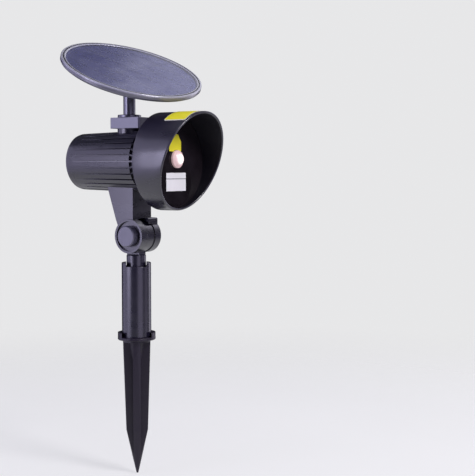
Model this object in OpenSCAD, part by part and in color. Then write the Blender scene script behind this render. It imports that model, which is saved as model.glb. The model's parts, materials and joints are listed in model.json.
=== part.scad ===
// Solar light projector on a garden stake.
// Origin: on the stake's axis, at the underside of the collar (ground level).
// +Z is up, the projector shines towards -Y, and the knuckle's bolt runs along X.

/* [Stake] */
// Length of the spike below ground level
spike_len = 115; // [90:1:180]
// Radius of the collar that stops at the ground
collar_r = 16; // [14:0.5:22]
// Thickness of the collar
collar_t = 2.5; // [2:0.1:3.5]
// Height of the lugs that stand on the collar at each side
lug_top = 6.2; // [4:0.1:9]
// Outer radius of the stake tube
tube_r = 12.4; // [12:0.1:14]
// Height of the tube's top above ground level
tube_top = 65.6; // [58:0.2:68]
// Turn of the spike's blades about the vertical
spike_turn = 38; // [0:1:90]

/* [Knuckle] */
// Height of the knuckle's bolt
knuckle_z = 88.2; // [88:0.2:100]
// Offset of the knuckle's bolt towards the front
knuckle_fwd = 2; // [0:0.5:3]
// Radius of the knuckle's round ears
ear_r = 14.4; // [14:0.1:15]
// Half of the fork's width, along the bolt
fork_half = 12.5; // [11.5:0.5:14]
// Radius of the clamp knob
knob_r = 8.8; // [8:0.2:11]

/* [Head] */
// Height of the head's axis
head_z = 150.6; // [148:0.2:165]
// Radius at the rear end of the finned housing
housing_rear_r = 24; // [23.6:0.1:24.5]
// Radius at the front end of the fins
housing_front_r = 25.9; // [25:0.1:27]
// Number of cooling grooves
groove_count = 30; // [20:1:36]
// Width of one cooling groove
groove_w = 1.4; // [1:0.1:1.8]
// Outer radius of the hood
hood_r = 40.4; // [38:0.2:46]
// Wall thickness of the hood
hood_wall = 2; // [1.6:0.1:3]
// Rake of the hood's open end, from upright
hood_rake = 19.1; // [0:0.1:24]

/* [Solar panel] */
// Outer radius of the solar panel
panel_r = 60; // [56:0.5:64]
// Tilt of the panel at rest
panel_tilt = 26.1; // [0:0.1:30]
// Turn of the panel at rest, from straight ahead
panel_turn = 22.8; // [-90:0.1:90]
// Radius of the post that carries the panel
post_r = 5.1; // [4.6:0.1:5.4]

/* [Hidden] */
$fn = 72;

// Clearances
run_gap = 0.05;      // running fit, per side
face_gap = 0.1;      // between faces that touch on the real object
eps = 0.01;          // overlap that makes two shapes one solid

// Stake
tube_wall = 2;
ring_r = 11.7;
ring_t = 2;
blade_t = 6.2;
spike_shoulder = 77; // depth at which the blades start to close in
plug_top = 21;
notch_depth = 3.2;   // notch between the two cheeks at the tube's top
bush_len = 17.8;
bush_top = tube_top - notch_depth - 0.4;

// Stem
stem_r = 8.2;
stem_bottom = 34;
stem_top = knuckle_z - ear_r - 1.3;
tongue_half = 4.4;
tongue_r = ear_r - 0.6;
washer_t = 1;
slot_half = tongue_half + washer_t + 2 * run_gap;
slot_r = ear_r + 0.7;
bolt_r = 3;
ear_recess_r = ear_r - 1.9;
ear_recess = 1.2;
nut_t = 5;
nut_flats = 10;

// Head: places along the axis are measured forwards, towards -Y
rear_f = -58.5;
cap_f = -50.5;
fins_f = 13;
hood_f = 30.8;
skirt_f = 27;         // hood's rear wall, around the housing's neck
rim_f = 58.9;
plate_f = 42.4;
cavity_r = 20.5;
neck_r = 23.6;
spigot_r = 18.4;     // hood's rear spigot, inside the housing
spigot_f = 24;
cap_slope = (housing_front_r - housing_rear_r) / (fins_f - rear_f);
cap_seam_r = housing_rear_r + cap_slope * (cap_f - rear_f);
screw_r = 1.5;
screw_hole_r = 1.25;
hood_screw_ring = 21;
cap_screw_ring = 17.3;

// Neck of the solar panel
post_y = 6.5;
boss_r = 10;
boss_top = 178.3;
block_top = 187.5;
collet_r = 7.4;
post_flange_r = 9.8;
post_flange_t = 2.3;
post_bottom = 160.5;
pad_z = 169.5;       // flat inside the housing, above the friction washer
cable_r = 1.5;
pivot = [0, post_y, 217.7];
ball_r = 6.5;
ball_neck_r = 3.6;

// Panel stack, measured up from the ball's centre
face_up = 12;
back_up = 6;
window_r = 55.6;

// Laser and lens
lens_up = 1.8;       // lens sits this far above the head's axis
bezel_r = 7.3;
laser_r = 6;

// Battery
cell_r = 7.1;
cell_len = 50;
cell_up = -11.5;
cell_rear_f = -43.6;
cradle_r = cell_r + 1.2;

// Children are drawn with x across, y up and z forwards along the head's axis.
module head_frame() {
    translate([0, 0, head_z]) rotate([90, 0, 0]) children();
}

// Children are drawn along the knuckle's bolt: z runs towards +X.
module knuckle_frame() {
    translate([0, -knuckle_fwd, knuckle_z]) rotate([0, 90, 0]) children();
}

// Children are drawn about the panel's ball: z is the panel's normal.
module panel_frame() {
    translate(pivot) rotate([0, 0, -panel_turn]) rotate([panel_tilt, 0, 0]) children();
}

// Children are repeated count times about z, at the given radius.
module around(count, radius, start = 90) {
    for (i = [0 : count - 1])
        rotate([0, 0, start + i * 360 / count]) translate([radius, 0, 0]) children();
}

module tube(r_out, r_in, h) {
    difference() {
        cylinder(r = r_out, h = h);
        translate([0, 0, -1]) cylinder(r = r_in, h = h + 2);
    }
}

module o_ring(major, minor) {
    rotate_extrude() translate([major, 0]) circle(r = minor, $fn = 24);
}

// Pan-head screw: the head sits above z = 0 and the shank below it.
module screw(r, len, head_r, head_h) {
    difference() {
        union() {
            cylinder(r = head_r, h = head_h);
            translate([0, 0, -len]) cylinder(r = r, h = len + eps);
        }
        for (turn = [0, 90])
            rotate([0, 0, turn]) translate([-head_r * 0.6, -0.35, head_h - 0.6])
                cube([head_r * 1.2, 0.7, 1]);
    }
}

// Round wire through the given points, with a small ball at each bend.
module wire(points, r = 0.7) {
    for (i = [0 : len(points) - 2]) {
        v = points[i + 1] - points[i];
        len = norm(v);
        translate(points[i]) rotate([0, acos(v[2] / len), atan2(v[1], v[0])])
            cylinder(r = r, h = len, $fn = 24);
    }
    for (i = [1 : len(points) - 2]) translate(points[i]) sphere(r = r + 0.25, $fn = 24);
}

// ---------------------------------------------------------------- stake

module blade() {
    translate([0, blade_t / 2, 0]) rotate([90, 0, 0]) linear_extrude(blade_t)
        polygon([[-ring_r, eps - ring_t], [ring_r, eps - ring_t], [9.2, -spike_shoulder],
            [1, -spike_len], [-1, -spike_len], [-9.2, -spike_shoulder]]);
}

module ground_spike() {
    color("#22212b") {
        rotate_extrude() polygon([[0, -ring_t], [ring_r, -ring_t], [ring_r, 0], [collar_r - 0.5, 0],
            [collar_r, 0.5], [collar_r, collar_t - 0.5], [collar_r - 0.5, collar_t], [0, collar_t]]);
        // Hollow plug that fills the tube's foot
        translate([0, 0, collar_t - 1]) tube(tube_r - tube_wall - run_gap, 7.5, plug_top - collar_t + 1);
        rotate([0, 0, spike_turn]) {
            // Lugs beside the tube
            difference() {
                translate([0, 0, 0.5]) cylinder(r = collar_r - 0.05, h = lug_top - 0.5);
                translate([-20, -tube_r - run_gap, -1]) cube([40, 2 * (tube_r + run_gap), 20]);
            }
            // Crossed blades, brought to a point by a round taper
            intersection() {
                union() {
                    blade();
                    rotate([0, 0, 90]) blade();
                }
                rotate_extrude() polygon([[0, 0], [ring_r, 0], [9.6, -spike_shoulder],
                    [0.8, -spike_len], [0, -spike_len]]);
            }
        }
        // Core that flares out under the collar
        translate([0, 0, -25]) cylinder(r1 = 3, r2 = 7.6, h = 25);
    }
}

// Tube with two cheeks at its top, one above each lug.
module stake_tube() {
    foot = collar_t + face_gap;
    notch_half = stem_r + 0.4;
    color("#2b2a36") difference() {
        rotate_extrude() polygon([[tube_r - tube_wall, foot], [tube_r, foot], [tube_r, tube_top - 0.4],
            [tube_r - 0.4, tube_top], [tube_r - tube_wall, tube_top]]);
        rotate([0, 0, spike_turn]) translate([-20, -notch_half, tube_top - notch_depth])
            cube([40, 2 * notch_half, 10]);
    }
}

module tube_bush() {
    color("#1b1b22") translate([0, 0, bush_top - bush_len])
        tube(tube_r - tube_wall - run_gap, stem_r + run_gap, bush_len);
}

// ---------------------------------------------------------------- stem and knuckle

module stem() {
    color("#2b2a36") difference() {
        union() {
            rotate_extrude() polygon([[0, stem_bottom], [stem_r - 0.8, stem_bottom], [stem_r, stem_bottom + 0.8],
                [stem_r, stem_top - 1], [stem_r - 1, stem_top], [0, stem_top]]);
            translate([-tongue_half, -6.5, stem_top - 2]) cube([2 * tongue_half, 13, knuckle_z - stem_top]);
            knuckle_frame() translate([0, 0, -tongue_half]) cylinder(r = tongue_r, h = 2 * tongue_half);
        }
        knuckle_frame() translate([0, 0, -20]) cylinder(r = bolt_r + run_gap, h = 40);
        translate([0, 0, 55]) tube(stem_r + 1, stem_r - 1, 1.4);
        translate([0, 0, stem_bottom - 1]) cylinder(r = 5.4, h = 32);
    }
}

module stem_o_ring() {
    color("#111111") translate([0, 0, 55.7]) o_ring(stem_r - 0.45, 0.48);
}

module knuckle_washers() {
    color("#111111") for (side = [-1, 1])
        knuckle_frame() translate([0, 0, side * (tongue_half + run_gap + washer_t / 2) - washer_t / 2])
            tube(tongue_r, bolt_r + 0.3, washer_t);
}

module knuckle_nut() {
    color("silver") knuckle_frame() translate([0, 0, fork_half - nut_t]) difference() {
        cylinder(r = nut_flats / sqrt(3), h = nut_t - 0.3, $fn = 6);
        translate([0, 0, -1]) cylinder(r = bolt_r + run_gap, h = nut_t + 2);
    }
}

module clamp_bolt() {
    color("silver") knuckle_frame() translate([0, 0, -fork_half - 2]) cylinder(r = bolt_r, h = 2 * fork_half + 1.2);
}

module clamp_knob() {
    face_x = -fork_half - 4.6;
    color("#5d5d6b") knuckle_frame() difference() {
        translate([0, 0, face_x]) rotate_extrude() polygon([[0, 0], [knob_r - 0.8, 0], [knob_r, 0.8],
            [knob_r, 4.5 + ear_recess], [0, 4.5 + ear_recess]]);
        translate([0, 0, -fork_half - 2 - run_gap]) cylinder(r = bolt_r + run_gap, h = 6);
        around(36, knob_r + 0.15) translate([0, 0, face_x + 1.4]) cylinder(r = 0.4, h = 4, $fn = 16);
    }
}

// ---------------------------------------------------------------- head

// Grooves run forwards and deepen, so they fade out towards the rear.
module cooling_grooves() {
    rear_cut = housing_rear_r + 0.25;
    front_cut = housing_front_r - 2.7;
    for (i = [0 : groove_count - 1])
        rotate([0, 0, i * 360 / groove_count]) translate([0, groove_w / 2, 0]) rotate([90, 0, 0])
            linear_extrude(groove_w) polygon([[front_cut, fins_f + 1], [rear_cut, cap_f + 2],
                [rear_cut + 9, cap_f + 2], [front_cut + 9, fins_f + 1]]);
}

// Tapered arm under the housing, seen from the side, that ends in the knuckle's fork.
module arm() {
    front_y = -6.4;
    difference() {
        union() {
            translate([-fork_half, 0, 0]) rotate([90, 0, 90]) linear_extrude(2 * fork_half)
                polygon([[front_y, knuckle_z], [9.4, knuckle_z + 8], [11.8, knuckle_z + 14],
                    [19.3, 125.3], [21, 131], [front_y, 131]]);
            knuckle_frame() translate([0, 0, -fork_half]) cylinder(r = ear_r, h = 2 * fork_half);
            // Raised ring on each ear
            for (side = [0, 1]) mirror([side, 0, 0])
                knuckle_frame() translate([0, 0, -fork_half - 0.7]) tube(ear_r, ear_recess_r, 0.7 + eps);
            // Square shoulder in front of the far ear
            rotate([90, 0, 90]) linear_extrude(fork_half)
                polygon([[front_y, knuckle_z], [-13.2, knuckle_z + 5], [-13.2, knuckle_z + 14.4],
                    [-12.4, knuckle_z + 15.2], [front_y, knuckle_z + 15.2]]);
        }
        // Recess inside each ring
        for (side = [0, 1]) mirror([side, 0, 0])
            knuckle_frame() translate([0, 0, -fork_half - 1]) cylinder(r = ear_recess_r, h = 1 + ear_recess);
        knuckle_frame() {
            translate([0, 0, -slot_half]) cylinder(r = slot_r, h = 2 * slot_half);
            translate([0, 0, -20]) cylinder(r = bolt_r + 0.1, h = 40);
            translate([0, 0, fork_half - nut_t - face_gap])
                cylinder(r = (nut_flats + 0.2) / sqrt(3), h = 9, $fn = 6);
        }
    }
}

// Round boss for the panel's post, with a split collet above it.
module post_boss() {
    translate([0, post_y, head_z + 15]) cylinder(r = boss_r, h = boss_top - head_z - 15);
    translate([0, post_y, boss_top - 1]) difference() {
        cylinder(r = collet_r, h = block_top - boss_top + 1);
        for (turn = [0, 90]) rotate([0, 0, turn])
            translate([-20, -0.6, 2]) cube([40, 1.2, 20]);
    }
}

module finned_housing() {
    color("#2b2a36") difference() {
        union() {
            difference() {
                union() {
                    head_frame() {
                        difference() {
                            translate([0, 0, cap_f]) cylinder(r1 = cap_seam_r, r2 = housing_front_r, h = fins_f - cap_f);
                            cooling_grooves();
                        }
                        translate([0, 0, fins_f - 1]) cylinder(r = neck_r, h = hood_f - fins_f + 1 - face_gap);
                    }
                    arm();
                    post_boss();
                }
                head_frame() {
                    translate([0, 0, cap_f - 1]) cylinder(r = cavity_r, h = 22 - cap_f + 1);
                    translate([0, 0, 20]) cylinder(r = spigot_r + 0.1, h = 20);
                }
            }
            // Flat pad for the post's washers, and the stop that limits its turn
            translate([0, post_y, pad_z]) cylinder(r = 9.5, h = 4);
            translate([0, post_y, 0]) rotate([0, 0, 90 - panel_turn]) translate([9.8, -1.6, 166])
                cube([3.2, 3.2, 7]);
            // Bosses for the rear cap's screws
            head_frame() around(3, cap_screw_ring) translate([0, 0, cap_f + 4.2]) cylinder(r = 3.4, h = 11);
        }
        translate([0, post_y, pad_z - 1]) cylinder(r = post_r + run_gap, h = 30);
        head_frame() {
            around(3, cap_screw_ring) translate([0, 0, -47]) cylinder(r = screw_hole_r, h = 10);
            around(3, hood_screw_ring) translate([0, 0, hood_f - 11]) cylinder(r = screw_hole_r, h = 12);
        }
    }
}

module rear_cap() {
    skirt_r = cavity_r - 0.1;
    post_gap = 10;
    color("#2b2a36") head_frame() difference() {
        union() {
            difference() {
                rotate_extrude() polygon([[0, rear_f], [20, rear_f], [22.2, rear_f + 0.4], [23.5, rear_f + 1.5],
                    [housing_rear_r, rear_f + 3.4], [cap_seam_r, cap_f - 0.05], [skirt_r, cap_f - 0.05],
                    [skirt_r, cap_f + 4], [0, cap_f + 4]]);
                translate([0, 0, rear_f + 2.5]) cylinder(r = skirt_r - 2.2, h = 20);
            }
            around(3, cap_screw_ring) translate([0, 0, rear_f + 2]) cylinder(r = 3, h = 10);
            around(2, post_gap, 0) translate([0, 0, rear_f + 2]) {
                cylinder(r = 2.2, h = 8.8);
                cylinder(r = 1, h = 11.2);
            }
        }
        around(3, cap_screw_ring) {
            translate([0, 0, rear_f - 1]) cylinder(r = screw_r + 0.1, h = 20);
            translate([0, 0, rear_f - 1]) cylinder(r = 2.9, h = 3);
        }
        translate([0, 0, rear_f - 1]) cylinder(r = 5.15, h = 5);
        // Groove for the seal
        translate([0, 0, cap_f + 1.5]) tube(skirt_r + 1, skirt_r - 1.1, 1.5);
        // Shallow dished ring round the button
        translate([0, 0, rear_f - eps]) tube(8.2, 7.2, 0.4);
    }
}

module rear_cap_screws() {
    color("silver") head_frame() around(3, cap_screw_ring) translate([0, 0, rear_f + 2])
        mirror([0, 0, 1]) rotate([0, 0, 15]) screw(screw_hole_r - 0.02, 16, 2.7, 1.6);
}

module rear_o_ring() {
    color("#111111") head_frame() translate([0, 0, cap_f + 2.25]) o_ring(cavity_r - 0.62, 0.56);
}

module power_button() {
    color("#3a3a40") head_frame() translate([0, 0, rear_f]) rotate_extrude()
        polygon([[0, -1.9], [3.6, -1.8], [4.6, -1.4], [5, -0.6], [5, 2.6], [6.4, 2.6], [6.4, 3.5],
            [2, 3.5], [2, 4.3], [0, 4.3]]);
}

module power_switch() {
    color("#1b1b22") head_frame() {
        translate([-3, -3, rear_f + 7.3]) cube([6, 6, 3.4]);
        translate([0, 0, rear_f + 5.7]) cylinder(r = 1.7, h = 1.7);
    }
}

module switch_board() {
    color("#1c5a34") head_frame() difference() {
        translate([-13, -5, rear_f + 10.8]) cube([26, 10, 1.6]);
        around(2, 10, 0) translate([0, 0, rear_f + 10]) cylinder(r = 1.05, h = 4);
    }
}

// Half space in front of the hood's raked rim, set back by the given distance.
module in_front_of_rim(back = 0) {
    translate([0, 0, rim_f - back]) rotate([hood_rake, 0, 0]) translate([-80, -120, 0]) cube([160, 240, 80]);
}

module hood() {
    inner_r = hood_r - hood_wall;
    color("#2b2a36") head_frame() difference() {
        union() {
            difference() {
                rotate_extrude() polygon([[16.4, hood_f], [neck_r + 0.8, hood_f], [neck_r + 0.8, skirt_f + 0.4],
                    [neck_r + 1.2, skirt_f], [hood_r - 2, skirt_f], [hood_r - 0.9, skirt_f + 0.3],
                    [hood_r - 0.3, skirt_f + 0.9], [hood_r, skirt_f + 2], [hood_r, 80], [inner_r, 80],
                    [inner_r, skirt_f + 4], [inner_r - 1.5, skirt_f + 2.5], [neck_r + 3.6, skirt_f + 2.5],
                    [neck_r + 2.8, hood_f + 2.5], [16.4, hood_f + 2.5]]);
                in_front_of_rim();
            }
            // Spigot that enters the housing, with a groove for its seal
            rotate_extrude() polygon([[16.4, spigot_f], [spigot_r, spigot_f], [spigot_r, spigot_f + 1.2],
                [spigot_r - 1.1, spigot_f + 1.2], [spigot_r - 1.1, spigot_f + 2.7], [spigot_r, spigot_f + 2.7],
                [spigot_r, hood_f + eps], [16.4, hood_f + eps]]);
            // Ledge that carries the lens plate
            translate([0, 0, plate_f - 4]) tube(inner_r + eps, inner_r - 1.8, 1.9);
        }
        around(3, hood_screw_ring) translate([0, 0, hood_f - 1]) cylinder(r = screw_r + 0.1, h = 6);
        around(2, 19, 0) translate([0, 0, hood_f - 1]) cylinder(r = 1, h = 6);
    }
}

module hood_screws() {
    color("silver") head_frame() around(3, hood_screw_ring) translate([0, 0, hood_f + 2.6])
        screw(screw_hole_r - 0.02, 11, 2.7, 1.6);
}

module hood_o_ring() {
    color("#111111") head_frame() translate([0, 0, spigot_f + 1.95]) o_ring(spigot_r - 0.5, 0.55);
}

module lens_plate() {
    plate_r = hood_r - hood_wall - 0.15;
    color("#17151a") head_frame() difference() {
        translate([0, 0, plate_f - 2]) cylinder(r = plate_r, h = 2);
        translate([0, 0, plate_f - 0.4]) tube(plate_r + 1, plate_r - 2.4, 1);
        translate([0, lens_up, plate_f - 3]) cylinder(r = bezel_r - 0.95, h = 5);
    }
}

module lens_bezel() {
    color("#3a3840") head_frame() translate([0, lens_up, plate_f]) rotate_extrude()
        polygon([[bezel_r - 1.6, -3.3], [bezel_r - 1, -3.3], [bezel_r - 0.5, -2.8], [bezel_r - 0.5, -2.1],
            [bezel_r - 1, -2.1], [bezel_r - 1, 0.05], [bezel_r, 0.05], [bezel_r, 1.6], [bezel_r - 0.3, 2],
            [bezel_r - 0.6, 2], [bezel_r - 0.6, 0.4], [bezel_r - 1.6, 0.4]]);
}

module lens_dome() {
    seat_r = bezel_r - 0.65;
    cap_rise = 3.6;
    sphere_r = (seat_r * seat_r + cap_rise * cap_rise) / (2 * cap_rise);
    color([1, 0.85, 0.85, 0.6]) head_frame() translate([0, lens_up, plate_f]) {
        translate([0, 0, 0.9]) cylinder(r = seat_r, h = 1.1);
        translate([0, 0, 1.9]) intersection() {
            translate([0, 0, cap_rise - sphere_r]) sphere(r = sphere_r);
            cylinder(r = seat_r, h = 10);
        }
    }
}

module lens_seal() {
    color("#111111") head_frame() translate([0, lens_up, plate_f + 0.65]) o_ring(bezel_r - 1.05, 0.22);
}

module grating_disc() {
    color([0.8, 0.85, 0.9, 0.5]) head_frame() translate([0, lens_up, plate_f - 2.4])
        cylinder(r = bezel_r - 1.7, h = 0.6);
}

module laser_barrel() {
    color("#b08d4a") head_frame() translate([0, lens_up, 14]) difference() {
        cylinder(r = laser_r, h = 25);
        translate([0, 0, 6]) cylinder(r = 4.2, h = 30);
        translate([0, 0, -1]) cylinder(r = 2.9, h = 30);
        for (i = [0 : 3]) translate([0, 0, 3 + 1.6 * i]) tube(laser_r + 1, laser_r - 0.5, 0.7);
    }
}

module laser_diode() {
    color("#caa24a") head_frame() translate([0, lens_up, 14]) {
        translate([0, 0, 3]) cylinder(r = 2.8, h = 1.2);
        translate([0, 0, 4.1]) cylinder(r = 2, h = 2.4);
        for (x = [-1.2, 0, 1.2]) translate([x, 0, -0.7]) cylinder(r = 0.22, h = 4, $fn = 16);
    }
}

module collimator_lens() {
    color([0.85, 0.92, 1, 0.5]) head_frame() translate([0, lens_up, 27]) difference() {
        cylinder(r = 4.1, h = 3);
        translate([0, 0, -17.3]) sphere(r = 18);
    }
}

module laser_mount() {
    color("silver") head_frame() difference() {
        union() {
            translate([0, 0, 18]) cylinder(r = 15.9, h = hood_f + 4.6 - 18);
            intersection() {
                translate([0, 0, hood_f + 2.6]) cylinder(r = 22, h = 2);
                translate([-22, -5, hood_f]) cube([44, 10, 8]);
            }
        }
        translate([0, lens_up, 10]) cylinder(r = laser_r + run_gap, h = 40);
        // Cooling slots beside the barrel
        for (side = [-1, 1]) for (i = [0 : 1])
            translate([side * (9.2 + 3 * i) - 0.8, -9, 17]) cube([1.6, 18, 10]);
        around(2, 19, 0) translate([0, 0, hood_f]) cylinder(r = 1.3, h = 8);
    }
}

module laser_mount_screws() {
    color("silver") head_frame() around(2, 19, 0) translate([0, 0, hood_f + 4.7])
        screw(0.98, 4.4, 2.1, 1.3);
}

// ---------------------------------------------------------------- electronics

board_up = 3;
board_rear_f = -42;
board_len = 52;
board_half = 16;

// Children are placed at the board's corners, with their +x towards the outside.
module board_corners() {
    for (side = [0, 1]) mirror([side, 0, 0])
        for (f = [board_rear_f + 10, board_rear_f + board_len - 4])
            translate([12, 0, f]) children();
}

module battery_cradle() {
    color("#26262c") head_frame() {
        difference() {
            translate([0, cell_up, cell_rear_f + 1]) cylinder(r = cradle_r, h = cell_len - 2);
            translate([0, cell_up, cell_rear_f - 1]) cylinder(r = cell_r + 0.1, h = cell_len + 2);
            translate([-15, cell_up + 2, cell_rear_f]) cube([30, 20, cell_len]);
        }
        // Posts that carry the board, each tied to the cradle
        board_corners() difference() {
            union() {
                translate([-2, cell_up - 1.5, -2]) cube([4, board_up - cell_up + 1.45, 4]);
                translate([-4.7, cell_up - 1.5, -2]) cube([4, 3.4, 4]);
            }
            translate([0, board_up - 6, 0]) rotate([-90, 0, 0]) cylinder(r = 0.85, h = 8);
        }
    }
}

module battery_cell() {
    color("#3c6ea8") head_frame() translate([0, cell_up, cell_rear_f]) {
        translate([0, 0, 0.6]) cylinder(r = cell_r, h = cell_len - 1.8);
        translate([0, 0, cell_len - 1.3]) cylinder(r = 3.2, h = 1.2);
    }
}

module battery_contacts() {
    color("silver") head_frame() {
        for (f = [cell_rear_f, cell_rear_f + cell_len]) translate([-3.5, cell_up - 4, f]) cube([7, 14, 0.5]);
    }
}

module driver_board() {
    color("#1c5a34") head_frame() difference() {
        translate([-board_half, board_up, board_rear_f]) cube([2 * board_half, 1.6, board_len]);
        board_corners() translate([0, board_up - 1, 0]) rotate([-90, 0, 0]) cylinder(r = 1.1, h = 4);
    }
}

module board_parts() {
    top = board_up + 1.65;
    color("#202024") head_frame() {
        translate([-3, top, -34]) cube([6, 1.6, 8]);
        translate([-9, top, -22]) cube([5, 2.6, 5]);
        translate([4, top, -22]) cube([5, 1.4, 4]);
        translate([4, top, -1]) cube([6, 3.6, 6]);
        translate([-7, top, 4]) rotate([-90, 0, 0]) cylinder(r = 2.6, h = 5.2);
        for (i = [0 : 3]) translate([-6 + 4 * i, top, -9]) cube([1.2, 0.8, 2]);
    }
}

module board_screws() {
    color("silver") head_frame() board_corners()
        translate([0, board_up + 1.65, 0]) rotate([-90, 0, 0]) screw(0.82, 5, 1.8, 1.1);
}

module laser_leads() {
    color("#b02a2a") head_frame() for (x = [-1.2, 1.2])
        wire([[x, lens_up, 13.2], [x, lens_up + 1, 11.4], [x * 2, board_up + 0.7, 10.9]], 0.6);
}

module battery_leads() {
    top = cell_up + 10;
    color("#b02a2a") head_frame() {
        wire([[0, top + 0.1, cell_rear_f + cell_len + 0.3], [0, board_up - 0.1, cell_rear_f + cell_len + 0.3]], 0.6);
        wire([[0, top + 0.1, cell_rear_f + 0.2], [0, board_up + 0.8, cell_rear_f + 0.2],
            [0, board_up + 0.8, board_rear_f - 0.1]], 0.6);
    }
}

module switch_leads() {
    color("#2a2a2a") head_frame() for (x = [-4, 4])
        wire([[x, board_up + 0.8, rear_f + 12.5], [x, board_up + 0.8, board_rear_f - 0.1]], 0.6);
}

// ---------------------------------------------------------------- neck of the panel

module pan_clamp_block() {
    half_x = 8;
    front = 16.3;
    rear = 15;
    bevel = 1.2;
    z0 = boss_top + face_gap;
    screw_y = rear - 4;
    color("#8d8e9c") translate([0, post_y, z0]) difference() {
        linear_extrude(block_top - z0) polygon([
            [-half_x, -front + bevel], [-half_x + bevel, -front], [half_x - bevel, -front], [half_x, -front + bevel],
            [half_x, rear - bevel], [half_x - bevel, rear], [-half_x + bevel, rear], [-half_x, rear - bevel]]);
        translate([0, 0, -1]) cylinder(r = collet_r + run_gap, h = 20);
        translate([-0.7, 0, -1]) cube([1.4, 40, 20]);
        translate([0, screw_y, 4.6]) rotate([0, 90, 0]) {
            translate([0, 0, -5]) cylinder(r = screw_hole_r + run_gap, h = 20);
            translate([0, 0, 5.4]) cylinder(r = 3, h = 5);
        }
    }
}

module pan_clamp_screw() {
    color("silver") translate([5.5, post_y + 11, boss_top + face_gap + 4.6]) rotate([0, 90, 0])
        screw(screw_hole_r, 10.2, 2.8, 1.8);
}

module panel_post() {
    color("#3c3b46") difference() {
        union() {
            translate([0, post_y, 0]) rotate_extrude() polygon([[0, post_bottom], [post_r - 0.6, post_bottom],
                [post_r, post_bottom + 0.6], [post_r, block_top + 0.2], [post_flange_r, block_top + 0.2],
                [post_flange_r, block_top + post_flange_t - 0.4], [post_flange_r - 0.4, block_top + post_flange_t],
                [post_r, block_top + post_flange_t], [post_r, 208.5], [ball_neck_r, 210.5],
                [ball_neck_r, pivot[2] - 4], [0, pivot[2] - 4]]);
            translate(pivot) sphere(r = ball_r);
        }
        translate([0, post_y, post_bottom - 1]) cylinder(r = cable_r + 0.6, h = 80);
    }
}

module post_nut() {
    color("silver") translate([0, post_y, 161.5]) difference() {
        cylinder(r = 9 / cos(30), h = 4, $fn = 6);
        translate([0, 0, -1]) cylinder(r = post_r + 0.02, h = 6);
    }
}

// Washer keyed to the post; its tab meets the stop after nearly a full turn.
module stop_washer() {
    color("silver") translate([0, post_y, 165.7]) rotate([0, 0, -90 - panel_turn]) difference() {
        union() {
            cylinder(r = 9, h = 1.2);
            translate([7, -1, 0]) cube([5, 2, 1.2]);
        }
        translate([0, 0, -1]) cylinder(r = post_r + 0.02, h = 4);
    }
}

module friction_washer() {
    color("#111111") translate([0, post_y, 167.1]) tube(8, post_r + 0.05, pad_z - 167.1 - 0.1);
}

module panel_cable() {
    color("#16161a") translate([0, post_y, 157.5]) cylinder(r = cable_r, h = 62);
}

// ---------------------------------------------------------------- solar panel

module panel_back_shell() {
    wall = 1.6;
    cup_r = ball_r + run_gap;
    color("#33323d") panel_frame() difference() {
        union() {
            rotate_extrude() polygon([[0, back_up], [panel_r - 3, back_up], [panel_r - 0.8, back_up + 1.3],
                [panel_r, back_up + 2.4], [panel_r, 10.5], [panel_r - wall, 10.5], [panel_r - wall, 8.9],
                [panel_r - 5, 8.9], [panel_r - 5, back_up + wall], [0, back_up + wall]]);
            translate([0, 0, 0.2]) cylinder(r = 9.4, h = back_up);
            translate([0, 0, back_up + wall - eps]) cylinder(r = 8, h = 1.2);
            // Stiffening ribs inside the shell
            for (turn = [0 : 60 : 300]) rotate([0, 0, turn + 30])
                translate([6, -0.7, back_up + 1]) cube([panel_r - 10, 1.4, 1.8]);
            // Low ring on the shell's back
            translate([0, 0, back_up - 0.8]) tube(20, 18.4, 1);
        }
        sphere(r = cup_r);
        cylinder(r = 3.6, h = 20);
        // Channel for the leads
        translate([-4, 0, 7.1]) cube([8, 15.5, 3]);
    }
}

module socket_nut() {
    lip_r = 6.12;
    lip_z = -2.3;
    color("#33323d") panel_frame() difference() {
        rotate_extrude() polygon([[9.5, 5.7], [11.6, 5.7], [12.4, 4.9], [12.4, -2.2], [11.4, -3.4],
            [8.2, -3.4], [lip_r - 1, lip_z], [lip_r - 1, 0.1], [9.5, 0.1]]);
        sphere(r = ball_r + run_gap);
        around(20, 12.6) translate([0, 0, -2]) cylinder(r = 0.55, h = 10, $fn = 16);
    }
}

module panel_bezel() {
    color("#4a4955") panel_frame() rotate_extrude() polygon([[window_r, face_up - 0.75],
        [window_r + 0.9, face_up - 0.1], [window_r + 1.6, face_up], [panel_r - 0.9, face_up],
        [panel_r, face_up - 0.8], [panel_r, 10.55], [panel_r - 1.65, 10.55], [panel_r - 1.65, face_up - 0.75]]);
}

module cell_board() {
    color("#1a1a2a") panel_frame() difference() {
        translate([0, 0, 9]) cylinder(r = panel_r - 1.8, h = 1);
        for (x = [-3, 3]) translate([x, 14, 8]) cylinder(r = 0.7, h = 3);
    }
}

module solar_cells() {
    strip_w = 17.2;
    gap = 0.7;
    strip_count = 6;
    cell_edge = window_r - 2;
    color("#2d2f63") panel_frame() rotate([0, 0, 25]) for (i = [0 : strip_count - 1]) for (half = [0, 1])
        intersection() {
            translate([0, 0, 10.05]) cylinder(r = cell_edge, h = 0.25);
            translate([(i - strip_count / 2) * (strip_w + gap) + gap / 2, half == 0 ? gap / 2 : -80 - gap / 2, 10])
                cube([strip_w, 80, 1]);
        }
}

module panel_window() {
    color([0.6, 0.65, 0.8, 0.35]) panel_frame() translate([0, 0, 10.35])
        cylinder(r = panel_r - 1.7, h = 0.85);
}

module panel_leads() {
    color("#b02a2a") panel_frame() for (x = [-1, 1])
        wire([[x, 0, 7], [x * 2, 5, 8], [x * 3, 14, 8], [x * 3, 14, 10]], 0.5);
}

// ---------------------------------------------------------------- stickers

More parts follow.
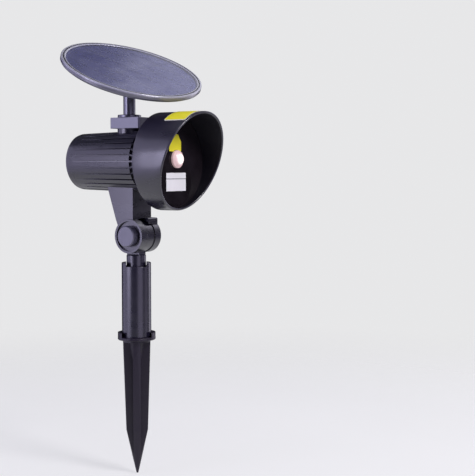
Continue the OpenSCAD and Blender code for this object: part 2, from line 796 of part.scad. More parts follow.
module triangle_sticker() {
    color("#e3d52a") head_frame() translate([0, lens_up, plate_f + 0.05]) linear_extrude(0.2) difference() {
        offset(r = 0.8) offset(delta = -0.8)
            polygon([[-10.2, 6.3], [6.1, 6.3], [6.1, 14.4], [1.9, 20.2], [-2.5, 20.2], [-10.2, 14.2]]);
        circle(r = bezel_r + 0.3);
    }
}

module white_sticker() {
    color("#d8d8d8") head_frame() translate([-14.3, -24.4, plate_f + 0.05]) cube([27, 15, 0.2]);
}

module hood_sticker() {
    sweep = 74;
    rear = 47.5;
    color("#e3d52a") head_frame() difference() {
        rotate([0, 0, 90 - sweep / 2]) rotate_extrude(angle = sweep)
            translate([hood_r + 0.03, rear]) square([0.22, 21]);
        in_front_of_rim(0.5);
    }
}

ground_spike();
stake_tube();
tube_bush();
stem();
stem_o_ring();
knuckle_washers();
finned_housing();
rear_cap();
rear_cap_screws();
rear_o_ring();
hood();
hood_screws();
hood_o_ring();
lens_plate();
lens_bezel();
lens_dome();
lens_seal();
grating_disc();
laser_barrel();
laser_diode();
collimator_lens();
laser_mount();
laser_mount_screws();
driver_board();
board_parts();
board_screws();
battery_cradle();
battery_cell();
battery_contacts();
power_switch();
switch_board();
power_button();
laser_leads();
battery_leads();
switch_leads();
knuckle_nut();
clamp_knob();
clamp_bolt();
pan_clamp_block();
pan_clamp_screw();
panel_post();
post_nut();
stop_washer();
friction_washer();
panel_cable();
panel_back_shell();
panel_bezel();
cell_board();
solar_cells();
panel_window();
socket_nut();
panel_leads();
triangle_sticker();
white_sticker();
hood_sticker();
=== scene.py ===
"""Light projector stake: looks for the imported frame. Units are metres, and positions come from the frame."""
import json
import math

import bmesh
import bpy
from mathutils import Matrix, Vector


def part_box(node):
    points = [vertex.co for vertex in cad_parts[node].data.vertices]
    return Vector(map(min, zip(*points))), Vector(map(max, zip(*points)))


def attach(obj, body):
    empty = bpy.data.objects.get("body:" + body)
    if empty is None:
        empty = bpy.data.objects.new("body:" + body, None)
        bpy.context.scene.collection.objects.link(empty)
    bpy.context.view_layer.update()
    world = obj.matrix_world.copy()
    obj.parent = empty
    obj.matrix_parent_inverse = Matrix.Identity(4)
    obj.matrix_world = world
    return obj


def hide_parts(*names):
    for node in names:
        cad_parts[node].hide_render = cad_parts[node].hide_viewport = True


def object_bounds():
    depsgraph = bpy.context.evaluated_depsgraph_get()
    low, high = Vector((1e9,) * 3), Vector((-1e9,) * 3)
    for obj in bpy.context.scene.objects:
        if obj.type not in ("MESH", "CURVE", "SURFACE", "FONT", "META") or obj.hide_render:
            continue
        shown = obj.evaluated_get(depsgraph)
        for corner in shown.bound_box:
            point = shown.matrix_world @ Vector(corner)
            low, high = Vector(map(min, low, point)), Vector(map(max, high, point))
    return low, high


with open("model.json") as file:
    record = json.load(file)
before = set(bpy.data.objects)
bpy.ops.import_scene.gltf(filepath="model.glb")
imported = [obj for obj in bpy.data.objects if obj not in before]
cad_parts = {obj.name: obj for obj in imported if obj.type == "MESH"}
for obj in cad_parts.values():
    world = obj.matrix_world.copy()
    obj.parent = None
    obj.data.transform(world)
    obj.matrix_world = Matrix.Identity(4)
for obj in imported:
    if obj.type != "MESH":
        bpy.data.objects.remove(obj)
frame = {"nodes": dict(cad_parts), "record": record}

cad_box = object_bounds()
MM = 0.001
NODES = frame["nodes"]


# ---------------------------------------------------------------- node helpers

class Shader:
    """A material's node tree, with short calls for the nodes used here."""

    def __init__(self, name):
        self.material = bpy.data.materials.new(name)
        self.material.use_nodes = True
        self.tree = self.material.node_tree
        self.tree.nodes.clear()
        self.out = self.node("ShaderNodeOutputMaterial")
        self.place = self.node("ShaderNodeTexCoord").outputs["Object"]

    def node(self, kind, **settings):
        made = self.tree.nodes.new(kind)
        for key, value in settings.items():
            setattr(made, key, value)
        return made

    def link(self, source, target):
        self.tree.links.new(source, target)

    def feed(self, target, value):
        """Sets a socket from another socket, a number or a colour."""
        if isinstance(value, bpy.types.NodeSocket):
            self.link(value, target)
        elif isinstance(value, tuple) and len(value) == 3 and target.type == "RGBA":
            target.default_value = (*value, 1)
        else:
            target.default_value = value

    def math(self, operation, a, b=0.0):
        made = self.node("ShaderNodeMath", operation=operation)
        self.feed(made.inputs[0], a)
        self.feed(made.inputs[1], b)
        return made.outputs[0]

    def ramp(self, value, low, high, to_low=0.0, to_high=1.0):
        made = self.node("ShaderNodeMapRange", interpolation_type="SMOOTHSTEP")
        self.feed(made.inputs["Value"], value)
        for end, number in (("From Min", low), ("From Max", high), ("To Min", to_low), ("To Max", to_high)):
            made.inputs[end].default_value = number
        return made.outputs["Result"]

    def mix(self, factor, a, b):
        made = self.node("ShaderNodeMix", data_type="RGBA")
        self.feed(made.inputs["Factor"], factor)
        self.feed(made.inputs["A"], a)
        self.feed(made.inputs["B"], b)
        return made.outputs["Result"]

    def stretched(self, scale):
        made = self.node("ShaderNodeMapping")
        self.link(self.place, made.inputs["Vector"])
        made.inputs["Scale"].default_value = scale
        return made.outputs["Vector"]

    def noise(self, scale, detail=3.0, vector=None):
        made = self.node("ShaderNodeTexNoise")
        self.link(vector or self.place, made.inputs["Vector"])
        made.inputs["Scale"].default_value = scale
        made.inputs["Detail"].default_value = detail
        made.inputs["Roughness"].default_value = 0.55
        return made.outputs["Fac"]

    def cells(self, scale, output="Distance"):
        made = self.node("ShaderNodeTexVoronoi")
        self.link(self.place, made.inputs["Vector"])
        made.inputs["Scale"].default_value = scale
        return made.outputs[output]

    def soft_edges(self, radius):
        """Normal that shades the edges as if rounded at the given radius; the mesh itself stays sharp."""
        made = self.node("ShaderNodeBevel", samples=6)
        made.inputs["Radius"].default_value = radius
        return made.outputs["Normal"]

    def edge_mask(self, rounded):
        """1 where the rounded normal leaves the true one, which is along an edge."""
        geometry = self.node("ShaderNodeNewGeometry")
        dot = self.node("ShaderNodeVectorMath", operation="DOT_PRODUCT")
        self.link(rounded, dot.inputs[0])
        self.link(geometry.outputs["Normal"], dot.inputs[1])
        return self.ramp(self.math("SUBTRACT", 1.0, dot.outputs["Value"]), 0.01, 0.12)

    def bump(self, height, distance, strength, normal=None):
        made = self.node("ShaderNodeBump")
        made.inputs["Strength"].default_value = strength
        made.inputs["Distance"].default_value = distance
        self.link(height, made.inputs["Height"])
        if normal is not None:
            self.link(normal, made.inputs["Normal"])
        return made.outputs["Normal"]

    def principled(self, **inputs):
        made = self.node("ShaderNodeBsdfPrincipled")
        for name, value in inputs.items():
            self.feed(made.inputs[name.replace("_", " ")], value)
        return made.outputs["BSDF"]

    def finish(self, surface):
        self.link(surface, self.out.inputs["Surface"])
        return self.material


# ---------------------------------------------------------------- materials

def shade(colour, factor, lift=0.0):
    """A lighter or darker version of a colour."""
    return tuple(min(1.0, c * factor + lift) for c in colour)


def moulded(name, colour, rough=0.28, wear_and_highlight=0.35, shine=0.85, coat=0.3):
    """Moulded plastic: fine spark-eroded grain, faint flow marks, handling haze, and paler edges that are
    partly wear and partly a painted edge highlight.
    """
    s = Shader(name)
    rounded = s.soft_edges(0.35 * MM)
    edges = s.edge_mask(rounded)
    haze = s.ramp(s.noise(38.0, 4.0), 0.3, 0.7, 0.0, 0.22)
    flow = s.noise(18.0, 2.0, s.stretched((1.0, 1.0, 6.0)))
    tone = s.mix(haze, colour, shade(colour, 1.35))
    # Paler edges: partly wear, partly a painted edge highlight.
    worn_and_highlit_edges = s.math("MULTIPLY", edges, s.ramp(s.noise(160.0, 2.0), 0.35, 0.65, wear_and_highlight * 0.6, wear_and_highlight))
    tone = s.mix(worn_and_highlit_edges, tone, shade(colour, 1.9, 0.03))
    grain = s.bump(s.noise(2600.0, 2.0), 0.003 * MM, 0.5, rounded)
    return s.finish(s.principled(Base_Color=tone, Normal=grain,
                                 Roughness=s.ramp(flow, 0.3, 0.7, rough - 0.03, rough + 0.05),
                                 Specular_IOR_Level=shine, Coat_Weight=coat, Coat_Roughness=0.2))


def metal(name, colour, rough=0.3, brushed=(1.0, 1.0, 30.0), metallic=1.0, coat=0.0):
    """Metal with a directional finish, small spots of dirt and rounded edges."""
    s = Shader(name)
    rounded = s.soft_edges(0.2 * MM)
    lines = s.noise(300.0, 3.0, s.stretched(brushed))
    dirt = s.ramp(s.noise(90.0, 5.0), 0.52, 0.75)
    tone = s.mix(s.math("MULTIPLY", dirt, 0.35), colour, shade(colour, 0.45))
    roughness = s.math("ADD", s.ramp(lines, 0.3, 0.7, rough - 0.06, rough + 0.08),
                       s.math("MULTIPLY", dirt, 0.12))
    return s.finish(s.principled(Base_Color=tone, Metallic=metallic, Roughness=roughness, Coat_Weight=coat,
                                 Coat_Roughness=0.12, Normal=s.bump(lines, 0.006 * MM, 0.5, rounded)))


def turned(name, colour):
    """Lathe-turned metal: fine rings about the head's axis."""
    s = Shader(name)
    rings = s.noise(60.0, 2.0, s.stretched((1.0, 90.0, 1.0)))
    tarnish = s.ramp(s.noise(120.0, 4.0), 0.45, 0.75)
    tone = s.mix(s.math("MULTIPLY", tarnish, 0.4), colour, shade(colour, 0.55))
    return s.finish(s.principled(Base_Color=tone, Metallic=1.0, Roughness=s.ramp(rings, 0.3, 0.7, 0.18, 0.34),
                                 Normal=s.bump(rings, 0.01 * MM, 0.6, s.soft_edges(0.15 * MM))))


def rubber(name, colour):
    """Matte rubber or cable sleeve with a fine pebble and a little dust."""
    s = Shader(name)
    dust = s.ramp(s.noise(240.0, 5.0), 0.5, 0.75)
    tone = s.mix(s.math("MULTIPLY", dust, 0.25), colour, (0.12, 0.12, 0.12))
    pebble = s.bump(s.noise(1800.0, 3.0), 0.02 * MM, 0.5, s.soft_edges(0.25 * MM))
    return s.finish(s.principled(Base_Color=tone, Roughness=s.ramp(dust, 0.0, 1.0, 0.62, 0.8), Normal=pebble))


def polished(name, colour):
    """Polished dark moulding with a faint haze and dust specks."""
    s = Shader(name)
    haze = s.noise(60.0, 4.0)
    dust = s.ramp(s.cells(900.0), 0.05, 0.12, 1.0, 0.0)
    specks = s.math("MULTIPLY", dust, s.ramp(s.noise(130.0), 0.55, 0.7, 0.0, 0.25))
    tone = s.mix(s.ramp(haze, 0.35, 0.65, 0.0, 0.5), colour, shade(colour, 1.8))
    tone = s.mix(specks, tone, (0.2, 0.19, 0.19))
    return s.finish(s.principled(Base_Color=tone, Roughness=s.ramp(haze, 0.3, 0.7, 0.12, 0.22),
                                 Specular_IOR_Level=0.3,
                                 Normal=s.bump(haze, 0.03 * MM, 0.2, s.soft_edges(0.2 * MM))))


def film(name, colour, band=None):
    """Plain label film: slight mottling and a paper-like fleck, and a grey band at a height if given."""
    s = Shader(name)
    fleck = s.noise(900.0, 3.0)
    fade = s.noise(55.0, 3.0)
    tone = s.mix(s.ramp(fade, 0.3, 0.7, 0.0, 0.3), colour, shade(colour, 0.82))
    if band is not None:
        split = s.node("ShaderNodeSeparateXYZ")
        s.link(s.place, split.inputs[0])
        away = s.math("ABSOLUTE", s.math("SUBTRACT", split.outputs["Z"], band))
        tone = s.mix(s.ramp(away, 0.25 * MM, 0.5 * MM, 0.75, 0.0), tone, (0.06, 0.06, 0.07))
    return s.finish(s.principled(Base_Color=tone, Roughness=s.ramp(fleck, 0.3, 0.7, 0.34, 0.46),
                                 Normal=s.bump(fleck, 0.01 * MM, 0.4)))


def see_through(name, tint, cloud=0.06, rough=0.08):
    """Clear cover: see-through, with a thin haze and a reflection that grows at a glancing angle."""
    s = Shader(name)
    glance = s.node("ShaderNodeFresnel")
    glance.inputs["IOR"].default_value = 1.45
    facing = s.math("SUBTRACT", 1.0, s.node("ShaderNodeNewGeometry").outputs["Backfacing"])
    clear_bsdf = s.node("ShaderNodeBsdfTransparent")
    clear_bsdf.inputs["Color"].default_value = (*tint, 1)
    gloss = s.node("ShaderNodeBsdfGlossy")
    s.link(s.ramp(s.noise(70.0, 4.0), 0.3, 0.7, rough, rough + 0.08), gloss.inputs["Roughness"])
    haze = s.node("ShaderNodeBsdfDiffuse")
    haze.inputs["Color"].default_value = (*tint, 1)
    cloudy = s.node("ShaderNodeMixShader")
    s.link(s.ramp(s.noise(45.0, 4.0), 0.3, 0.7, cloud * 0.7, cloud * 1.3), cloudy.inputs["Fac"])
    s.link(clear_bsdf.outputs[0], cloudy.inputs[1])
    s.link(haze.outputs[0], cloudy.inputs[2])
    blend = s.node("ShaderNodeMixShader")
    s.link(s.math("MULTIPLY", glance.outputs[0], facing), blend.inputs["Fac"])
    s.link(cloudy.outputs[0], blend.inputs[1])
    s.link(gloss.outputs[0], blend.inputs[2])
    return s.finish(blend.outputs[0])


def lit_lens(name, centre, rim=0.55):
    """Frosted lens lit from behind: white at the middle, pale pink and dimmer towards the rim."""
    s = Shader(name)
    off = s.node("ShaderNodeVectorMath", operation="DISTANCE")
    s.link(s.place, off.inputs[0])
    off.inputs[1].default_value = centre
    spread = s.ramp(off.outputs["Value"], 1.6 * MM, 6.2 * MM)
    sparkle = s.noise(700.0, 3.0)
    tone = s.mix(spread, (1.0, 0.93, 0.88), (0.60, 0.44, 0.44))
    glow = s.mix(spread, (1.0, 0.90, 0.85), (0.60, 0.41, 0.41))
    strength = s.math("MULTIPLY", s.ramp(spread, 0.0, 1.0, 1.1, rim), s.ramp(sparkle, 0.3, 0.7, 0.85, 1.1))
    return s.finish(s.principled(Base_Color=tone, Roughness=0.3, Emission_Color=glow,
                                 Emission_Strength=strength, Coat_Weight=0.3,
                                 Normal=s.bump(sparkle, 0.05 * MM, 0.3)))


def silicon(name, strip_way):
    """Solar cells: mottled blue-violet silicon with fine silver fingers across each strip."""
    s = Shader(name)
    mottle = s.cells(260.0, output="Color")
    grey = s.node("ShaderNodeRGBToBW")
    s.link(mottle, grey.inputs[0])
    along = s.node("ShaderNodeVectorMath", operation="DOT_PRODUCT")
    s.link(s.place, along.inputs[0])
    along.inputs[1].default_value = strip_way
    finger_pitch = 1.9 * MM
    phase = s.math("FRACT", s.math("DIVIDE", along.outputs["Value"], finger_pitch))
    finger = s.ramp(s.math("ABSOLUTE", s.math("SUBTRACT", phase, 0.5)), 0.03, 0.07, 1.0, 0.0)
    tone = s.mix(grey.outputs[0], (0.036, 0.037, 0.125), (0.046, 0.048, 0.150))
    tone = s.mix(s.math("MULTIPLY", finger, 0.10), tone, (0.20, 0.20, 0.28))
    return s.finish(s.principled(Base_Color=tone, Roughness=s.ramp(grey.outputs[0], 0.0, 1.0, 0.25, 0.4),
                                 Metallic=0.25))


def circuit(name):
    """Green solder mask with the raised copper tracks showing through."""
    s = Shader(name)
    lanes = s.node("ShaderNodeTexBrick")
    s.link(s.place, lanes.inputs["Vector"])
    lanes.inputs["Scale"].default_value = 90.0
    lanes.inputs["Mortar Size"].default_value = 0.03
    tone = s.mix(lanes.outputs["Fac"], (0.015, 0.13, 0.05), (0.03, 0.24, 0.09))
    return s.finish(s.principled(Base_Color=tone, Roughness=0.28, Coat_Weight=0.4,
                                 Normal=s.bump(lanes.outputs["Fac"], 0.03 * MM, 0.5)))


# The panel's own frame is turned about the vertical and tilted; its cell strips run across it at an angle.
PANEL_FRAME = Matrix.Rotation(math.radians(-22.8), 3, "Z") @ Matrix.Rotation(math.radians(26.1), 3, "X")
STRIP_ANGLE = math.radians(25)
STRIP_WAY = PANEL_FRAME @ Vector((-math.sin(STRIP_ANGLE), math.cos(STRIP_ANGLE), 0))

lens_low, lens_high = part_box("lens_dome")
LENS_CENTRE = Vector(((lens_low.x + lens_high.x) / 2, lens_low.y, (lens_low.z + lens_high.z) / 2))

label_low, label_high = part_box("white_sticker")
LABEL_BAND = label_high.z - 0.33 * (label_high.z - label_low.z)

FINISHES = {
    "body_plastic": moulded("body_plastic", (0.009, 0.0075, 0.019)),
    # Darker, matte copy of the body plastic: painted shade for the hood's inside.
    "hood_inside_shade": moulded("hood_inside_shade", (0.004, 0.0033, 0.0075), 0.45, wear_and_highlight=0.2, shine=0.4, coat=0.0),
    "spike_plastic": moulded("spike_plastic", (0.011, 0.007, 0.018), 0.36, shine=0.45, coat=0.0),
    "shell_plastic": moulded("shell_plastic", (0.13, 0.13, 0.16), 0.3),
    "bush_plastic": moulded("bush_plastic", (0.035, 0.035, 0.042), 0.5),
    "rim_plastic": moulded("rim_plastic", (0.33, 0.33, 0.39), 0.25, wear_and_highlight=0.5),
    "post_metal": metal("post_metal", (0.12, 0.12, 0.15), 0.24, (1.0, 1.0, 0.2), metallic=0.6, coat=0.6),
    "knob_plastic": moulded("knob_plastic", (0.095, 0.093, 0.13), 0.4),
    "block_plastic": moulded("block_plastic", (0.20, 0.20, 0.26), 0.4, wear_and_highlight=0.2),
    "button_rubber": rubber("button_rubber", (0.035, 0.035, 0.04)),
    # Near-black rubber finish put in the panel rim's groove: painted shade.
    "seal_rubber": rubber("seal_rubber", (0.012, 0.012, 0.012)),
    "plate_plastic": polished("plate_plastic", (0.008, 0.006, 0.008)),
    "lens_rim": lit_lens("lens_rim", LENS_CENTRE, rim=0.42),
    "lens_glass": lit_lens("lens_glass", LENS_CENTRE),
    "clear_glass": see_through("clear_glass", (0.93, 0.96, 1.0)),
    "panel_glass": see_through("panel_glass", (0.86, 0.87, 1.0), 0.05, 0.14),
    "cell_silicon": silicon("cell_silicon", STRIP_WAY),
    "cell_backing": moulded("cell_backing", (0.075, 0.075, 0.16), 0.4),
    "screw_steel": metal("screw_steel", (0.60, 0.60, 0.62)),
    "mount_aluminium": turned("mount_aluminium", (0.70, 0.71, 0.72)),
    "barrel_brass": turned("barrel_brass", (0.72, 0.53, 0.22)),
    "board_green": circuit("board_green"),
    "parts_black": moulded("parts_black", (0.02, 0.02, 0.022), 0.38),
    "cell_wrap": film("cell_wrap", (0.04, 0.13, 0.36)),
    "lead_sleeve": rubber("lead_sleeve", (0.35, 0.02, 0.02)),
    "cable_sleeve": rubber("cable_sleeve", (0.02, 0.02, 0.02)),
    "label_border": film("label_border", (0.72, 0.72, 0.62)),
    "yellow_label": film("yellow_label", (0.80, 0.74, 0.03)),
    "white_label": film("white_label", (0.84, 0.84, 0.83), LABEL_BAND),
}


def paint(obj, material):
    """Gives every material slot of an object one finish."""
    if not obj.material_slots:
        obj.data.materials.append(material)
    for slot in obj.material_slots:
        slot.link = "OBJECT"
        slot.material = material


for part in frame["record"]["subparts"]:
    paint(NODES[part["node"]], FINISHES[part["material_slot"]])
paint(NODES["ground_spike"], FINISHES["spike_plastic"])
paint(NODES["panel_back_shell"], FINISHES["shell_plastic"])


# ---------------------------------------------------------------- pieces made in mesh code

HOOD_LOW, HOOD_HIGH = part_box("hood")
HOOD_R = (HOOD_HIGH.x - HOOD_LOW.x) / 2
HEAD_Z = (HOOD_HIGH.z + HOOD_LOW.z) / 2
HOOD_WALL = 2.0 * MM
HOOD_RAKE = math.tan(math.radians(19.1))
HOOD_SEAT = -HOOD_HIGH.y
RIM_F = -HOOD_LOW.y - HOOD_RAKE * HOOD_R


def head_point(radius, turn, forward):
    """Point at a radius and turn about the head's axis, a distance forward of the stake."""
    return Vector((radius * math.cos(turn), -forward, HEAD_Z + radius * math.sin(turn)))


def rim_at(radius, turn):
    return RIM_F + HOOD_RAKE * radius * math.sin(turn)


def add_piece(name, bm, slot, body, replaced=(), extra=(), sharp=35.0):
    """Turns a bmesh into a smooth-shaded piece of a material slot, riding on a body in place of CAD nodes."""
    bmesh.ops.recalc_face_normals(bm, faces=bm.faces)
    mesh = bpy.data.meshes.new(name)
    bm.to_mesh(mesh)
    bm.free()
    mesh.shade_smooth()
    mesh.set_sharp_from_angle(angle=math.radians(sharp))
    obj = bpy.data.objects.new(name, mesh)
    bpy.context.scene.collection.objects.link(obj)
    for material in (FINISHES[slot], *extra):
        mesh.materials.append(material)
    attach(obj, body)
    if replaced:
        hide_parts(*replaced)
    return obj


def ring_of_loops(bm, loops):
    """Bridges equal point loops with quads all the way round, and returns the faces in that order."""
    rows = [[bm.verts.new(point) for point in loop] for loop in loops]
    faces = []
    for i, a in enumerate(rows):
        b = rows[(i + 1) % len(rows)]
        for j in range(len(a)):
            k = (j + 1) % len(a)
            faces.append(bm.faces.new((a[j], a[k], b[k], b[j])))
    return faces


def hood_section(turn):
    """Closed section of the hood's wall at one turn, as radii and distances forward.

    It runs from the spigot over the skirt, the outside, the rounded lip and the inside to the floor, and the
    second result is the range of its inside edges.
    """
    inner = HOOD_R - HOOD_WALL
    lip = HOOD_WALL / 2
    outer_top, inner_top = (rim_at(radius, turn) - lip for radius in (HOOD_R, inner))
    skirt, floor, back, spigot_front = (HOOD_SEAT + f * MM for f in (3.0, 5.5, 6.8, 9.3))
    ledge_rear, ledge_front, ledge_r = HOOD_SEAT + 14.4 * MM, HOOD_SEAT + 16.3 * MM, inner - 1.8 * MM
    spigot_bore, spigot_r, skirt_bore, floor_bore = (r * MM for r in (16.4, 18.3, 24.4, 27.2))
    corner, fillet, chamfer, draft = (r * MM for r in (2.0, 1.5, 0.4, 0.8))

    section = [(spigot_bore, HOOD_SEAT), (spigot_r, HOOD_SEAT), (spigot_r, back), (skirt_bore, back),
               (skirt_bore, skirt + chamfer), (skirt_bore + chamfer, skirt)]
    for step in range(7):
        a = math.radians(-90 + 15 * step)
        section.append((HOOD_R - corner + corner * math.cos(a), skirt + corner + corner * math.sin(a)))
    side_start = skirt + corner
    section += [(HOOD_R, side_start + t * (outer_top - side_start)) for t in (0.35, 0.7)]
    for step in range(9):
        a = math.radians(22.5 * step)
        middle = (outer_top + inner_top) / 2 + (outer_top - inner_top) / 2 * math.cos(a)
        section.append((HOOD_R - lip + lip * math.cos(a), middle + lip * math.sin(a)))
    inside_start = len(section) - 2
    section += [(inner, (inner_top + ledge_front) / 2),
                (inner, ledge_front), (ledge_r, ledge_front), (ledge_r, ledge_rear), (inner, ledge_rear),
                (inner, floor + fillet), (inner - fillet, floor), (floor_bore, floor),
                (floor_bore - draft, spigot_front), (spigot_bore, spigot_front)]
    return section, range(inside_start, len(section) - 2)


def make_hood():
    """Hood whose inside, from the lip's inner edge to the floor, has a darker copy of the body plastic as
    painted shade.
    """
    segments = 128
    bm = bmesh.new()
    loops = []
    for i in range(segments):
        turn = 2 * math.pi * i / segments
        section, inside = hood_section(turn)
        loops.append([head_point(radius, turn, forward) for radius, forward in section])
    for i, face in enumerate(ring_of_loops(bm, loops)):
        # Inside faces take the darker copy of the plastic: painted shade inside the hood.
        if i % len(section) in inside:
            face.material_index = 1
    add_piece("hood_shell", bm, "body_plastic", "head", ("hood",), (FINISHES["hood_inside_shade"],))


def rounded_outline(half_w, half_h, radius):
    """Corner-rounded rectangle outline about the origin, counter-clockwise."""
    points = []
    for corner, (sx, sy) in enumerate(((1, 1), (-1, 1), (-1, -1), (1, -1))):
        for step in range(7):
            a = math.radians(90 * corner + 15 * step)
            points.append((sx * (half_w - radius) + radius * math.cos(a),
                           sy * (half_h - radius) + radius * math.sin(a)))
    return points


def densify(points, spacing):
    """Adds points along straight runs so that none is longer than the spacing."""
    out = []
    for i, a in enumerate(points):
        b = points[(i + 1) % len(points)]
        steps = max(1, math.ceil(math.dist(a, b) / spacing))
        out += [(a[0] + (b[0] - a[0]) * k / steps, a[1] + (b[1] - a[1]) * k / steps) for k in range(steps)]
    return out


def make_film(name, outline, place, thickness, border, slot, body, replaced):
    """Thin film with a pale border: concentric rings of an outline, set on a surface by place()."""
    half = max(abs(c) for point in outline for c in point)
    scales = [1.0, 1.0 - border / half] + [0.9 - 0.1 * k for k in range(9)]
    bm = bmesh.new()
    count = len(outline)
    sheets = []
    for height in (thickness, 0.0):
        rows = [[bm.verts.new(place(x * k, y * k, height)) for x, y in outline] for k in scales]
        hub = bm.verts.new(place(0.0, 0.0, height))
        for i in range(len(scales) - 1):
            for j in range(count):
                k = (j + 1) % count
                face = bm.faces.new((rows[i][j], rows[i][k], rows[i + 1][k], rows[i + 1][j]))
                face.material_index = 1 if i == 0 else 0
        for j in range(count):
            bm.faces.new((rows[-1][j], rows[-1][(j + 1) % count], hub))
        sheets.append(rows[0])
    for j in range(count):
        k = (j + 1) % count
        side = bm.faces.new((sheets[1][j], sheets[1][k], sheets[0][k], sheets[0][j]))
        side.material_index = 1
    return add_piece(name, bm, slot, body, replaced, (FINISHES["label_border"],))


def make_hood_film():
    low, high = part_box("hood_sticker")
    half_sweep = math.asin(min(1.0, high.x / (high.z - HEAD_Z)))
    half_w = HOOD_R * half_sweep
    middle_f = -(low.y + high.y) / 2
    half_f = (high.y - low.y) / 2
    gap = 0.03 * MM

    def place(x, y, height):
        return head_point(HOOD_R + gap + height, math.pi / 2 - x / HOOD_R, middle_f + y)

    outline = densify(rounded_outline(half_w, half_f, 1.6 * MM), 1.6 * MM)
    make_film("hood_film", outline, place, 0.22 * MM, 0.9 * MM, "yellow_label", "head", ("hood_sticker",))


def make_panel_rim():
    """Panel's rim with two rounded lips, and the groove between them given a near-black finish as painted
    shade.

    The profile holds distances outward of the rim's edge and above its top, in millimetres.
    """
    low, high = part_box("panel_bezel")
    middle = (low + high) / 2
    rim_r = 60 * MM
    top = 0.725 * MM
    profile = [(-4.4, -0.75), (-4.25, -0.5), (-3.9, -0.25), (-3.5, -0.1), (-3.1, -0.05), (-2.8, -0.1),
               (-2.7, -0.55), (-1.8, -0.55), (-1.7, -0.1), (-1.4, 0.0), (-0.8, 0.0), (-0.4, -0.12),
               (-0.12, -0.4), (0.0, -0.8), (0.0, -1.45), (-1.65, -1.45), (-1.65, -0.75)]
    groove = range(5, 8)
    segments = 144
    bm = bmesh.new()
    loops = []
    for i in range(segments):
        turn = 2 * math.pi * i / segments
        loops.append([middle + PANEL_FRAME @ Vector(((rim_r + outward * MM) * math.cos(turn),
                                                     (rim_r + outward * MM) * math.sin(turn),
                                                     top + above * MM))
                      for outward, above in profile])
    for i, face in enumerate(ring_of_loops(bm, loops)):
        # Groove faces take the near-black finish: painted shade.
        if i % len(profile) in groove:
            face.material_index = 1
    add_piece("panel_rim", bm, "rim_plastic", "panel", ("panel_bezel",), (FINISHES["seal_rubber"],), 28.0)


make_hood()
make_hood_film()
make_panel_rim()


# ---------------------------------------------------------------- floor, light and camera

PALE = (0.80, 0.80, 0.81)


def backdrop_material():
    """Pale floor that fades into the pale background away from the object."""
    s = Shader("pale_floor")
    flat = s.node("ShaderNodeVectorMath", operation="MULTIPLY")
    s.link(s.place, flat.inputs[0])
    flat.inputs[1].default_value = (1, 1, 0)
    length = s.node("ShaderNodeVectorMath", operation="LENGTH")
    s.link(flat.outputs[0], length.inputs[0])
    clear_bsdf = s.node("ShaderNodeBsdfTransparent")
    blend = s.node("ShaderNodeMixShader")
    s.link(s.ramp(length.outputs["Value"], 0.25, 0.95), blend.inputs["Fac"])
    path = s.node("ShaderNodeLightPath").outputs
    seen = s.math("MAXIMUM", path["Is Camera Ray"], s.math("MULTIPLY", path["Is Glossy Ray"], 0.9))
    s.link(s.principled(Base_Color=s.mix(s.noise(6.0, 3.0), (0.27, 0.27, 0.27), (0.30, 0.30, 0.30)),
                        Roughness=0.8, Emission_Color=PALE,
                        Emission_Strength=s.math("MULTIPLY", seen, 0.72)), blend.inputs[1])
    s.link(clear_bsdf.outputs[0], blend.inputs[2])
    return s.finish(blend.outputs[0])


def add_floor():
    mesh = bpy.data.meshes.new("floor")
    bm = bmesh.new()
    bmesh.ops.create_circle(bm, cap_ends=True, radius=1.0, segments=96)
    bm.to_mesh(mesh)
    bm.free()
    floor = bpy.data.objects.new("floor", mesh)
    floor.location.z = cad_box[0].z - 0.5 * MM
    bpy.context.scene.collection.objects.link(floor)
    floor.data.materials.append(backdrop_material())


def add_world():
    """Soft studio surroundings: pale where the camera looks, dimmer in reflections, brighter from above."""
    world = bpy.data.worlds.new("studio")
    bpy.context.scene.world = world
    world.use_nodes = True
    tree = world.node_tree
    tree.nodes.clear()
    out = tree.nodes.new("ShaderNodeOutputWorld")
    path = tree.nodes.new("ShaderNodeLightPath")
    place = tree.nodes.new("ShaderNodeTexCoord")
    split = tree.nodes.new("ShaderNodeSeparateXYZ")
    tree.links.new(place.outputs["Generated"], split.inputs[0])
    height = tree.nodes.new("ShaderNodeMapRange")
    height.interpolation_type = "SMOOTHSTEP"
    tree.links.new(split.outputs["Z"], height.inputs["Value"])
    for end, number in (("From Min", 0.0), ("From Max", 0.9), ("To Min", 0.02), ("To Max", 0.12)):
        height.inputs[end].default_value = number
    around = tree.nodes.new("ShaderNodeBackground")
    around.inputs["Color"].default_value = (0.80, 0.82, 1.0, 1)
    tree.links.new(height.outputs[0], around.inputs["Strength"])
    seen = tree.nodes.new("ShaderNodeBackground")
    seen.inputs["Color"].default_value = (*PALE, 1)
    blend = tree.nodes.new("ShaderNodeMixShader")
    tree.links.new(path.outputs["Is Camera Ray"], blend.inputs["Fac"])
    tree.links.new(around.outputs[0], blend.inputs[1])
    tree.links.new(seen.outputs[0], blend.inputs[2])
    tree.links.new(blend.outputs[0], out.inputs["Surface"])


def direction(azimuth, elevation):
    """Unit vector at angles in degrees: azimuth 0 is in front of the lens, and elevation is above level."""
    a, e = math.radians(azimuth), math.radians(elevation)
    return Vector((math.sin(a) * math.cos(e), -math.cos(a) * math.cos(e), math.sin(e)))


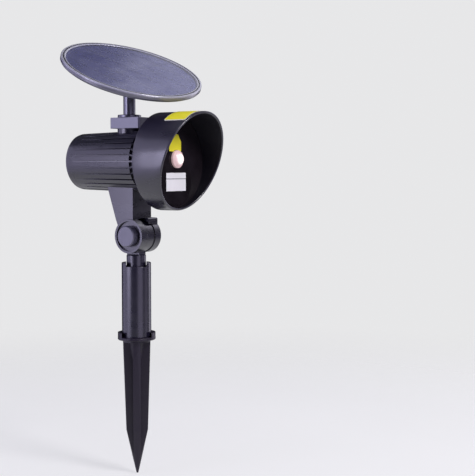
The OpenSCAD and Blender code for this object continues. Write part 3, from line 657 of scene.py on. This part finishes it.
def place_facing(obj, location, back):
    """Puts a light or camera in the scene, looking against the given direction with its top up."""
    obj.location = location
    obj.rotation_mode = "QUATERNION"
    obj.rotation_quaternion = (-back).to_track_quat("-Z", "Y")
    bpy.context.scene.collection.objects.link(obj)


LIT_POINT = Vector((0, 0, 0.1))


def add_softbox(name, azimuth, elevation, distance, size, power, colour):
    """Area light at an azimuth and elevation, aimed at the lit point."""
    light = bpy.data.lights.new(name, "AREA")
    light.shape = "RECTANGLE"
    light.size, light.size_y = size
    light.energy = power
    light.color = colour
    lamp = bpy.data.objects.new(name, light)
    away = direction(azimuth, elevation)
    place_facing(lamp, LIT_POINT + away * distance, away)


def add_camera():
    """Camera at the product shot's angle: well to the left of the lens axis and a little above level."""
    azimuth, distance, height = -51.83, 0.9524, 0.1446
    yaw, pitch = -5.161, 3.530
    data = bpy.data.cameras.new("camera")
    data.lens = 85
    data.sensor_width = 36
    camera = bpy.data.objects.new("camera", data)
    place_facing(camera, direction(azimuth, 0) * distance + Vector((0, 0, height)),
                 direction(azimuth + yaw, pitch))
    bpy.context.scene.camera = camera


add_floor()
add_world()
add_softbox("key", -142, 6, 0.9, (1.4, 1.3), 6.2, (0.72, 0.68, 1.0))
add_softbox("upper", -112, 6, 0.9, (0.5, 0.5), 2.8, (0.76, 0.72, 1.0))
add_softbox("fill", -22, 5, 1.1, (0.8, 1.2), 3.2, (0.76, 0.69, 1.0))
add_softbox("side", 30, 5, 1.0, (0.5, 1.1), 0.9, (0.80, 0.72, 1.0))
add_softbox("rim", 75, 10, 0.9, (0.4, 1.0), 1.9, (0.86, 0.82, 1.0))
add_softbox("front", -5, 38, 1.1, (0.3, 0.3), 8.5, (1.0, 0.98, 1.0))
add_softbox("sheen", 96, 36, 0.8, (0.5, 0.5), 0.6, (0.9, 0.9, 1.0))
add_softbox("top", -80, 78, 1.0, (0.6, 0.6), 1.5, (0.93, 0.95, 1.0))
add_camera()

bpy.context.scene.view_settings.view_transform = "Standard"
